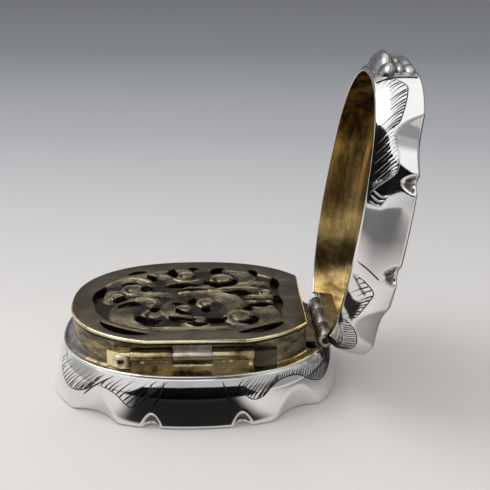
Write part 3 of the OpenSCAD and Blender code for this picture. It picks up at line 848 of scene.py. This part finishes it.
# Grille. Piercings are crescents along arcs: centre, radius, start and end angle, half width
PIERCINGS = [
    # along the border
    (-2.9, 0.3, 10.75, 158, 190, 0.45), (-6.1, -2.2, 7.8, 212, 271, 0.38),
    (4.2, 1.5, 11.5, 276, 311, 0.45), (-28.6, -1.2, 40, -4, 3.7, 0.36), (-28.6, 4.9, 40, -3, 3, 0.34),
    # round the eyes of the front scrolls
    (-5.9, -4.6, 1.85, 180, 318, 0.6), (-4.9, -6.2, 1.7, 190, 255, 0.35),
    (-1.2, -2.6, 3.5, 226, 290, 0.42), (0.45, -6.7, 0.95, 160, 350, 0.36),
    (2.7, -4.4, 1.9, 225, 320, 0.5), (6.4, -5.6, 1.55, 230, 380, 0.35), (-1.3, -3.0, 1.2, 170, 310, 0.2),
    # leaf gaps across the middle
    (-4.2, -3.2, 1.35, 135, 215, 0.42), (2.7, -2.9, 1.3, 140, 220, 0.3),
    (-8.1, -3.6, 2.6, 75, 160, 0.42), (1.3, -0.3, 1.75, 150, 220, 0.3), (-2.4, -5, 3.8, 75, 105, 0.18),
    (-11.5, 1.3, 1.35, 270, 365, 0.35), (5.3, -2.2, 1.9, -55, 5, 0.3), (9.1, 5.6, 7.6, 255, 285, 0.42),
    (6.1, -20, 22.2, 84.5, 95.5, 0.48),
    # long leaf slits behind the middle
    (-1.6, -15, 19.8, 81.5, 98.5, 0.36), (0.1, -8, 11.2, 78, 107, 0.25), (-9.2, 4.0, 2.2, -40, 25, 0.5),
    (-9.2, 3.9, 1.55, 40, 150, 0.28),
    # round the eyes of the back scrolls
    (3.5, 7, 2.25, 195, 360, 0.55), (4.5, 8.3, 2.1, 95, 165, 0.48), (-0.6, 9.5, 2.9, 160, 225, 0.42),
    (-0.4, 9.2, 1.2, 45, 135, 0.3), (-6.7, 4.2, 5.4, 95, 128, 0.3), (6.5, 8.3, 2.1, -15, 50, 0.3),
    (-7.9, 7.0, 1.5, -30, 60, 0.38),
]
# Rounded bands of the scrolls: centre, inner and outer radius, start and end angle
BANDS = [
    # front scrolls
    (-5.9, -4.1, 2.3, 5.9, 128, 284), (6.2, -5.5, 2.2, 5.4, -118, 88), (0.4, -6.5, 1.0, 2.6, 150, 340),
    (-1.6, -3.1, 1.2, 3.3, 95, 305), (2.0, -1.9, 1.7, 4.9, -58, 128), (0.0, 22.0, 30.2, 31.5, 256, 284),
    # left scrolls
    (-7.3, -2.5, 2.0, 3.3, 35, 168), (-11.2, 1.0, 0.8, 2.2, 60, 275), (-9.3, 4.1, 2.0, 3.9, 8, 172),
    (-2.0, -1.5, 10.3, 11.7, 100, 146), (-7.6, 0.6, 1.4, 2.6, 20, 150),
    # long leaves behind the middle
    (7.5, -21.0, 25.2, 26.5, 86, 117), (1.6, -13.0, 14.8, 16.1, 74, 110),
    (6.0, -12.0, 15.0, 16.1, 74, 106), (-2.0, -10.0, 14.7, 15.9, 82, 99),
    (-6.2, -8.0, 9.3, 10.5, 68, 100),
    # right leaves
    (9.2, 5.6, 4.3, 5.5, 242, 300), (9.2, 5.6, 6.1, 7.3, 248, 294), (9.2, 5.6, 7.7, 8.7, 254, 292),
    (9.6, 8.8, 3.2, 4.6, 226, 292),
    # back scrolls
    (-1.3, 8.2, 1.5, 3.1, 100, 352), (4.0, 6.7, 2.2, 4.8, -88, 80), (-5.4, 6.2, 1.0, 2.4, -30, 110),
]
# Eyes of the scrolls: centre, radius
EYES = [
    (-5.5, -4.6, 2.0), (-1.5, -3.1, 1.5), (6.1, -5.4, 2.5), (0.5, -6.4, 1.3), (3.9, 6.7, 2.1),
    (-8.8, 3.6, 1.9), (-10.8, 1.0, 1.2), (9.9, 1.9, 1.1), (1.5, -1.1, 1.6), (-1.3, 8.1, 1.7),
    (-6.0, -1.4, 0.9),
]
EYE_CORE = 0.52
EYE_DISC = 0.85
EYE_BAND = 0.21
EYE_TURNS = 0.86
PATTERN_SCALE = np.array([COLLAR_L / 34.0, COLLAR_W / 25.8])
FAR = 9.0


def arc_taper(shares, half_width):
    return half_width * np.maximum(0, np.sin(math.pi * shares)) ** 0.7


def arc_points(x, y, radius, start, end, count):
    angles = np.radians(np.linspace(start, end, count))
    out = np.stack([np.cos(angles), np.sin(angles)], -1)
    return [x, y] + radius * out, out


def crescent(x, y, radius, start, end, half_width, margin=0.0):
    """Outline of one piercing, pointed at both ends."""
    count = 26
    line, out = arc_points(x, y, radius, start, end, count)
    reach = arc_taper(np.linspace(0, 1, count), half_width + PIERCE_MORE)[:, None] + margin
    return np.concatenate([line + out * reach, (line - out * reach)[-2:0:-1]]) * PATTERN_SCALE


def round_arc(points, x, y, start, end):
    """Distance from an arc's centre and share of the way along it, for points of the plate."""
    away = points / PATTERN_SCALE - [x, y]
    turn = np.degrees(np.arctan2(away[:, 1], away[:, 0]))
    return np.hypot(away[:, 0], away[:, 1]), ((turn - start) % 360) / (end - start)


def piercing_gap(points):
    """How far points of the plate lie from the nearest piercing, below zero inside one."""
    gap = np.full(len(points), FAR)
    for x, y, radius, start, end, half_width in PIERCINGS:
        away, share = round_arc(points, x, y, start, end)
        reach = arc_taper(np.clip(share, 0, 1), half_width + PIERCE_MORE)
        gap = np.minimum(gap, np.where(share <= 1, np.abs(away - radius) - reach, FAR))
    return gap


def field_depth(points):
    """How far points of the plate lie inside the sunk field, below zero on the border."""
    half = np.array([COLLAR_L, COLLAR_W]) / 2 - FIELD_IN
    share = (np.abs(points / half) ** OVAL_POWER).sum(-1) ** (1 / OVAL_POWER)
    from_right = COLLAR_FLAT_X - FIELD_IN - points[:, 0]
    from_front = points[:, 1] + COLLAR_FLAT_Y - FIELD_FRONT_IN
    return np.minimum((1 - share) * half[1], np.minimum(from_right, from_front))


def volute(points, x, y, radius):
    """Height of a scroll's eye: a flat disc with a band that winds out of it."""
    away, share = round_arc(points, x, y, 0, 360)
    disc = EYE_DISC * np.maximum(0, 1 - (away / (EYE_CORE * radius)) ** 6) ** 0.5
    wound = share / EYE_TURNS
    middle = radius * (EYE_CORE + (1 - EYE_CORE) * wound)
    across = (away - middle) / (EYE_BAND * radius)
    crown = np.maximum(0, 1 - across**2) ** 0.35 * np.clip(8 * (1 - wound), 0, 1)
    return np.maximum(disc, np.where(wound <= 1, crown, 0))


def plate_height(points):
    """Height of the plate's top with its sunk field, rounded bands, eyes and eased piercings."""
    raised = np.zeros(len(points))
    for k, (x, y, inner, outer, start, end) in enumerate(BANDS):
        away, share = round_arc(points, x, y, start, end)
        across = (away - inner) / (outer - inner)
        crown = np.maximum(0, 4 * across * (1 - across)) ** 0.3 * (0.72 + 0.28 * across)
        ends = np.maximum(0, np.sin(math.pi * np.clip(share, 0, 1))) ** 0.5
        raised = np.maximum(raised, np.where(share <= 1, crown * ends * (1 - 0.1 * (k % 3)), 0))
    for eye in EYES:
        raised = np.maximum(raised, volute(points, *eye))
    raised = GROUND + (1 - GROUND) * raised
    inside = np.clip(field_depth(points) / FIELD_SLOPE, 0, 1)
    inside = inside * inside * (3 - 2 * inside)
    eased = np.clip(1 - piercing_gap(points) / EDGE_EASE, 0, 1) ** 2
    return GRILLE_TOP + inside * (BAND_H * raised - FIELD_SINK) - EDGE_DROP * eased


def triangulate(outline, holes, extra):
    """Triangles that fill an outline round its holes, through extra points."""
    points, loops = [], []
    for loop in [outline] + holes:
        loops.append(list(range(len(points), len(points) + len(loop))))
        points += [Vector(p) for p in loop]
    points += [Vector(p) for p in extra]
    found = delaunay_2d_cdt(points, [], loops, 0, 1e-5)
    in_outline_alone = [inside == [0] for inside in found[5]]
    return np.array([tuple(p) for p in found[0]]), np.array(found[2])[in_outline_alone]


def open_edges(triangles):
    """Edges that only one triangle has."""
    edges = np.concatenate([triangles[:, [0, 1]], triangles[:, [1, 2]], triangles[:, [2, 0]]])
    _, first, count = np.unique(np.sort(edges, 1), axis=0, return_index=True, return_counts=True)
    return edges[first[count == 1]]


def make_plate():
    """The pierced plate: its top, the walls of its openings, its edge and its underside."""
    t = turn_steps(420)
    shade = GRILLE_LOW + EDGE_SHADE
    profile = [(0.08, GRILLE_LOW), (0.08, shade), (0.0, shade), (0.0, GRILLE_TOP - GRILLE_BEVEL)]
    profile += [(0.06, GRILLE_TOP - 0.12), (0.14, GRILLE_TOP - 0.04), (GRILLE_BEVEL, GRILLE_TOP)]
    loops = [at_height(collar_line(t, GRILLE_LIP - s, GRILLE_FRONT_LIP - s), z) for s, z in profile]
    holes = [crescent(*arc) for arc in PIERCINGS]
    grid = np.meshgrid(np.arange(-15, 13, FIELD_PITCH), np.arange(-10.2, 10.6, FIELD_PITCH))
    spots = [np.stack([axis.ravel() for axis in grid], -1)]
    spots += [crescent(*arc, margin) for arc in PIERCINGS for margin in (0.07, 0.15)]
    spots = np.concatenate(spots)
    spots = spots[(field_depth(spots) > -0.3) & (piercing_gap(spots) > 0.05)]
    flat, triangles = triangulate(loops[-1][:, :2], holes, spots)
    top = at_height(flat, plate_height(flat))
    plate = Gathered()
    plate.add(top, triangles, np.where(field_depth(flat[triangles].mean(1)) > 0, 2, 0))
    edges = open_edges(triangles)
    upper = top[edges[edges[:, 0] >= len(t)][:, ::-1]]
    lower = at_height(upper[:, ::-1, :2], GRILLE_LOW)
    walls = np.concatenate([upper, lower], 1)
    # The walls of the piercings are black as painted shade
    plate.add(walls, np.arange(4 * len(walls)).reshape(-1, 4), 3)
    sides = loft_faces(len(profile), len(t), close_rows=False)
    # The lower part of the plate's edge is black as a painted shadow under its overhang; the bevel above it
    # is gilt
    plate.add(np.stack(loops), sides, np.where(np.arange(len(sides)) < 2 * len(t), 3, 1))
    under, triangles = triangulate(loops[0][:, :2], holes, [])
    plate.add(at_height(under, GRILLE_LOW), triangles[:, ::-1], 0)
    materials = [OXIDISED, BRIGHT_GILT, RELIEF, SHADE_BLACK]
    plate.piece("pierced_plate", "grille", "oxidised", materials, 35, weld=0.002, replaces="grille_plate")


# Raised leaves, as arcs with a half width
SCROLL_LEAVES = [
    (-9.3, 4.1, 3.2, 25, 150, 0.42), (-7.3, -2.5, 2.7, 45, 150, 0.3), (7.5, -21.0, 25.9, 89, 114, 0.32),
    (1.6, -13.0, 15.5, 77, 106, 0.34), (6.0, -12.0, 15.6, 78, 102, 0.3),
    (-2.0, -10.0, 15.3, 84, 97, 0.28), (9.2, 5.6, 4.9, 250, 292, 0.3), (9.2, 5.6, 6.7, 254, 288, 0.28),
    (0.0, 22.0, 30.8, 260, 280, 0.26), (0.4, -6.5, 2.0, 170, 320, 0.24),
    (6.2, -5.5, 4.2, -105, -40, 0.3), (-1.3, 8.2, 2.4, 130, 330, 0.26),
]
LINE_PITCH = 0.42
LINE_W = 0.2
LINE_H = 0.1
LEAF_H = 0.2


def clear_runs(clear, least):
    """Start and end of each unbroken run of clear points that is long enough."""
    marks = np.flatnonzero(np.diff(np.concatenate([[0], clear.astype(int), [0]])))
    return [(a, b) for a, b in marks.reshape(-1, 2) if b - a >= least]


def ridge_on_plate(strips, path, width, height, sunk, sides):
    """A raised line that lies on the plate's relief, in the stretches clear of its piercings."""
    clear = (piercing_gap(path) > width * 0.4) & (field_depth(path) > 0.15)
    for a, b in clear_runs(clear, 6):
        run = path[a:b]
        taper = np.clip(np.sin(math.pi * np.linspace(0, 1, len(run))) * 2.0, 0.12, 1)
        up = np.tile([0.0, 0.0, 1.0], (len(run), 1))
        line = at_height(run, plate_height(run))
        strips.add_strip(ridge_rings(line, up, width * taper, height * taper, sides, sunk))


def make_scrolls():
    lines = Gathered()
    for x, y, inner, outer, start, end in BANDS:
        for radius in np.arange(inner + LINE_PITCH * 0.6, outer - LINE_PITCH * 0.3, LINE_PITCH):
            steps = max(12, int(radius * math.radians(end - start) / 0.14))
            path, _ = arc_points(x, y, radius, start, end, steps)
            ridge_on_plate(lines, path * PATTERN_SCALE, LINE_W, LINE_H, 0.02, 5)
    lines.piece("scroll_lines", "grille", "oxidised", [RELIEF])
    leaves = Gathered()
    for *arc, half_width in SCROLL_LEAVES:
        path, _ = arc_points(*arc, 40)
        ridge_on_plate(leaves, path * PATTERN_SCALE, 2 * half_width, LEAF_H, 0.05, 8)
    leaves.piece("scroll_leaves", "grille", "oxidised", [LEAF_TIP])


make_plate()
make_scrolls()

# Engraving. A leaf is its edge, as angles on one long side in degrees and distances below the rim, then
# its strokes: pitch, slant in degrees a millimetre, how often a long one comes, and where short ones end
BASE_LEAVES = [
    ([(162, 1.2), (153, 3.5), (143, 3.7), (134, 2.5), (130, 0.6)], 0.56, 3.6, 2, 0.45),
    ([(129, 1.7), (120.5, 2.4), (115.5, 3.6), (112, 3.9), (107.5, 2.4), (104.5, 0.2)], 0.62, 3.8, 2, 0.45),
    ([(77.5, 0.3), (74.5, 1.8), (71, 2.9), (66.5, 2.8), (61.5, 1.6), (55.5, 1.0), (47.5, 1.2), (40, 2.5),
      (33, 3.3), (25, 2.9), (16, 1.6)], 0.4, 3.2, 1, 0.4),
]
BASE_LINES = [
    [(100, 0.2), (101, 1.4), (103, 2.9), (106.5, 4.2)],
    [(82, 0.2), (80.3, 2.1), (78.3, 3.4)],
    [(138.5, 4.1), (131, 2.0), (122, 0.3)],
]
LID_LEAVES = [
    ([(165, 1.4), (157.5, 3.5), (151, 3.6), (138.5, 2.8), (134.5, 2.0)], 0.56, 3.4, 3, 0.5),
    ([(80.8, 0.2), (79, 1.8), (75.5, 3.1), (71.5, 2.9), (65.5, 2.3), (60.5, 1.9)], 0.66, 3.0, 3, 0.5),
    ([(59, 0.6), (55.5, 1.9), (50, 2.9), (43, 3.4), (35, 3.1), (27, 1.9)], 0.42, 2.6, 1, 0.4),
]
LID_LINES = [[(85.5, 0.2), (84, 1.6), (82, 2.8), (80.5, 3.5)]]
LID_BRIGHT_LEAVES = [([(134.5, 2.0), (127.5, 2.7), (121.5, 3.0), (116, 2.7), (112, 0.8)], 0.5, 3.6, 2, 0.4)]
LID_BRIGHT_LINES = [
    [(109, 0.5), (107, 1.6), (108, 2.6)],
    [(107, 0.4), (105.3, 1.3), (106, 2.1)],
    [(104.8, 0.4), (103.6, 1.1), (104, 1.7)],
]
CUT_W = 0.25
CUT_H = 0.035
BRIGHT_CUT_H = 0.08


def surface_normals(outside, t, drop, inner_point):
    step = 0.002
    around = outside(t + step, drop) - outside(t - step, drop)
    down = outside(t, drop + step) - outside(t, drop - step)
    normals = unit(np.cross(around, down))
    return normals * np.sign(((outside(t, drop) - inner_point) * normals).sum(-1, keepdims=True))


def hatching(edge, pitch, slant, long_each, short):
    """Slanting cuts from a leaf's edge up towards the rim, one long and the others short."""
    path = smooth_path(edge, 240)
    mm_a_degree = 0.3
    shortest = 0.55
    steps = np.hypot(np.diff(path[:, 0]) * mm_a_degree, np.diff(path[:, 1]))
    walked = np.concatenate([[0], np.cumsum(steps)])
    count = int(walked[-1] / pitch)
    for k in range(count):
        at = (k + 0.5 + rng.uniform(-0.2, 0.2)) * walked[-1] / count
        angle = np.interp(at, walked, path[:, 0])
        drop = np.interp(at, walked, path[:, 1])
        if k % long_each == 0:
            top = 0.2 + 0.25 * rng.random()
        else:
            top = drop * rng.uniform(short - 0.1, short + 0.1)
        if drop - top < shortest:
            continue
        start = angle - slant * (drop - top)
        yield [(angle, drop), ((start + angle) / 2 + 0.6, (top + drop) / 2), (start, top)]


def make_engraving(name, body, h, scoops, place, leaves, lines, material, cut_h):
    """Leaves and lines cut into a wall, the same on both long sides."""

    def outside(t, drop):
        up = h - drop
        return place(at_height(rim_offset(t, wall_out(t, up, h, scoops) - roll_in(up)), up))

    middle = place(np.array([0.0, 0.0, h / 2]))
    cuts = Gathered()
    paths = [(line, 1.0, False) for line in lines]
    for edge, *strokes in leaves:
        paths.append((edge, 0.75, False))
        paths += [(path, 1.0, True) for path in hatching(edge, *strokes)]
    for path, weight, stroke in paths:
        line = smooth_path(path, 10 + 6 * len(path))
        shares = np.linspace(0, 1, len(line))
        taper = np.clip(np.sin(math.pi * shares) * 1.8, 0.12, 1)
        if stroke:
            taper = np.clip(shares * 12, 0.3, 1) * np.clip(1.15 - shares, 0.12, 1)
        widths = CUT_W * taper * weight
        heights = cut_h * np.minimum(1, taper * 1.5)
        drop = line[:, 1]
        for side in (-1, 1):
            t = side * np.radians(line[:, 0])
            normals = surface_normals(outside, t, drop, middle)
            cuts.add_strip(ridge_rings(outside(t, drop), normals, widths, heights, 3, 0.008))
    cuts.piece(name, body, "silver", [material])


make_engraving("base_engraving", *BASE_SIDE, BASE_LEAVES, BASE_LINES, ENGRAVED, CUT_H)
make_engraving("lid_engraving", *LID_SIDE, LID_LEAVES, LID_LINES, ENGRAVED, CUT_H)
make_engraving("lid_bright_cuts", *LID_SIDE, LID_BRIGHT_LEAVES, LID_BRIGHT_LINES, SILVER, BRIGHT_CUT_H)


# Stage
def add_sheet(name, corners, material):
    mesh = bpy.data.meshes.new(name)
    mesh.from_pydata((np.asarray(corners) * MM).tolist(), [], [tuple(range(len(corners)))])
    mesh.materials.append(material)
    sheet = add_object(name, mesh)
    return sheet


def seen_by_camera(tree):
    return node(tree, "LightPath").outputs["Is Camera Ray"]


def make_floor():
    """A pale table that darkens to grey at the back as painted light falloff, with painted shadows that
    only the metal mirrors.
    """
    material, tree, shader = new_material("pale_table")
    spot = split(object_coords(tree))
    x, y = spot["X"], spot["Y"]
    # Painted light falloff: the table darkens from pale at the front to grey at the back
    stops = [(0.02, (0.71, 0.685, 0.66)), (0.15, (0.56, 0.56, 0.565)), (0.31, (0.39, 0.40, 0.415))]
    stops += [(0.62, (0.215, 0.23, 0.25)), (0.98, (0.17, 0.18, 0.2))]
    shown = ramp(spread(y, 0.0, 1.0, 0.0, 0.4), stops)
    # Painted shadows that only reflections show: the lid's shadow beside it to the right, darker shade
    # further right, a shadow on the table ahead, and the front card's shadow in a lane before the object
    shadow_ahead = product(ease(y, -0.035, -0.11), ease(x, 0.07, 0.01))
    beside = product(ease(x, 0.018, 0.034), ease(y, -0.045, -0.025))
    far_right_shade = product(ease(x, 0.044, 0.062), ease(y, -0.05, -0.02))
    left_of = node(tree, "Math", {0: y, 1: -0.45, 2: x}, operation="MULTIPLY_ADD").outputs["Value"]
    card_shadow_lane = product(ease(left_of, -0.009, -0.003), ease(x, 0.0145, 0.0095))
    near = product(ease(y, -0.0164, -0.0178), ease(y, -0.038, -0.035))
    mirrored = shown
    for where, tone in [(beside, 0.26), (far_right_shade, 0.03), (shadow_ahead, 0.13), (product(card_shadow_lane, near), 0.012)]:
        mirrored = blend_colours(where, mirrored, grey(tone))
    colour = blend_colours(seen_by_camera(tree), mirrored, shown)
    join(shader, Base_Color=colour, Roughness=0.7, Specular_IOR_Level=0.2)
    half = 3000
    add_sheet("table", [(-half, -half, 0), (half, -half, 0), (half, half, 0), (-half, half, 0)], material)


def make_world():
    """A bright soft ceiling over a dim room that is pale at the left."""
    world = bpy.data.worlds.new("studio")
    world.use_nodes = True
    tree = world.node_tree
    ray = split(node(tree, "TexCoord").outputs["Generated"])
    flat = node(tree, "CombineXYZ", {"X": ray["X"], "Y": ray["Y"]}).outputs["Vector"]
    way = split(node(tree, "VectorMath", {0: flat}, operation="NORMALIZE").outputs["Vector"])
    left = blend_colours(ease(way["X"], -0.99, -0.88), grey(0.42), grey(0.72))
    sides = blend_colours(ease(way["X"], -0.4, 0.6), left, (0.3, 0.3, 0.305))
    with_back = blend_colours(ease(way["Y"], 0.5, 0.9), sides, (0.2, 0.205, 0.21))
    in_front = product(ease(way["X"], -0.36, -0.16), ease(way["Y"], 0.2, -0.2))
    low = product(in_front, ease(ray["Z"], 0.27, 0.35))
    dim = blend_colours(low, with_back, (0.46, 0.46, 0.465))
    room = blend_colours(ease(ray["Z"], 0.5, 0.66), dim, grey(1.0))
    join(tree.nodes["Background"], Color=blend_colours(seen_by_camera(tree), room, (0.3, 0.31, 0.33)))
    bpy.context.scene.world = world


def make_card(name, corners, edge, low, high):
    """A card with soft ends, set beside the bright metal, that only reflections show."""
    material, tree, shader = new_material(name)
    tone = ramp(noise(tree, 60, 3), [(0.35, grey(low)), (0.65, grey(high))])
    along = split(node(tree, "TexCoord").outputs["Generated"])["X"]
    ends = product(ease(along, 0, edge), ease(along, 1, 1 - edge))
    join(shader, Base_Color=tone, Alpha=ends, Roughness=0.9, Specular_IOR_Level=0.1)
    card = add_sheet(name, corners, material)
    for rays in ("camera", "diffuse", "shadow", "transmission"):
        setattr(card, "visible_" + rays, False)


def direction(azimuth, height):
    """The way to a point at an azimuth and a height in degrees."""
    a, e = math.radians(azimuth), math.radians(height)
    return np.array([math.sin(a) * math.cos(e), -math.cos(a) * math.cos(e), math.sin(e)])


def make_cards():
    """A sloping card in front, dark below and pale above, and a dark one by the lid's leaf."""
    dark = (0.004, 0.016)
    pale = (0.68, 0.72)
    front = np.array([(-27, -34), (-17, -25), (-10.5, -20), (8.5, -20), (13.5, -25), (21, -34)])
    edge_height = 8
    tilt = 0.564
    rise = edge_height + tilt * (front[:, 1] - front[:, 1].max())
    make_card("front_card", at_height(front, rise), 0.16, *dark)
    make_card("front_card_top", at_height(front, rise + 0.1), 0.16, *pale)
    leaf = np.array([22.0, -10.0, 33.0])
    away = 30
    ways = [(-116, 46), (-12, 42), (0, 32), (30, 24), (30, 9), (0, 6), (-30, -3), (-116, -3)]
    make_card("side_card", [leaf + away * direction(*way) for way in ways], 0.08, *dark)


def aim(obj, spot, target, roll=0.0):
    """Place a lamp or a camera at a spot, turned to a target."""
    back = Vector(spot) - Vector(target)
    turn = back.to_track_quat("Z", "Y") @ Quaternion((0, 0, 1), roll)
    obj.matrix_world = Matrix.LocRotScale(Vector(spot) * MM, turn, None)


def make_lamp():
    lamp = bpy.data.lights.new("key", "AREA")
    lamp.shape = "RECTANGLE"
    lamp.size = 0.22
    lamp.size_y = 0.16
    lamp.energy = 0.38
    aim(add_object("key", lamp), (-160, 50, 300), (0, 0, 10))


def make_camera():
    """The photograph's view, by a point on the object, a direction, a distance and a roll."""
    data = bpy.data.cameras.new("camera")
    data.lens = 64.55
    data.sensor_width = 36.0
    data.clip_start = 0.005
    camera = add_object("camera", data)
    target = np.array([6.96, 0.0, 19.89])
    distance = 123.19
    aim(camera, target + distance * direction(-3.15, 22.99), target, math.radians(0.63))
    bpy.context.scene.camera = camera


make_floor()
make_world()
make_cards()
make_lamp()
make_camera()
bpy.context.scene.view_settings.view_transform = "Standard"
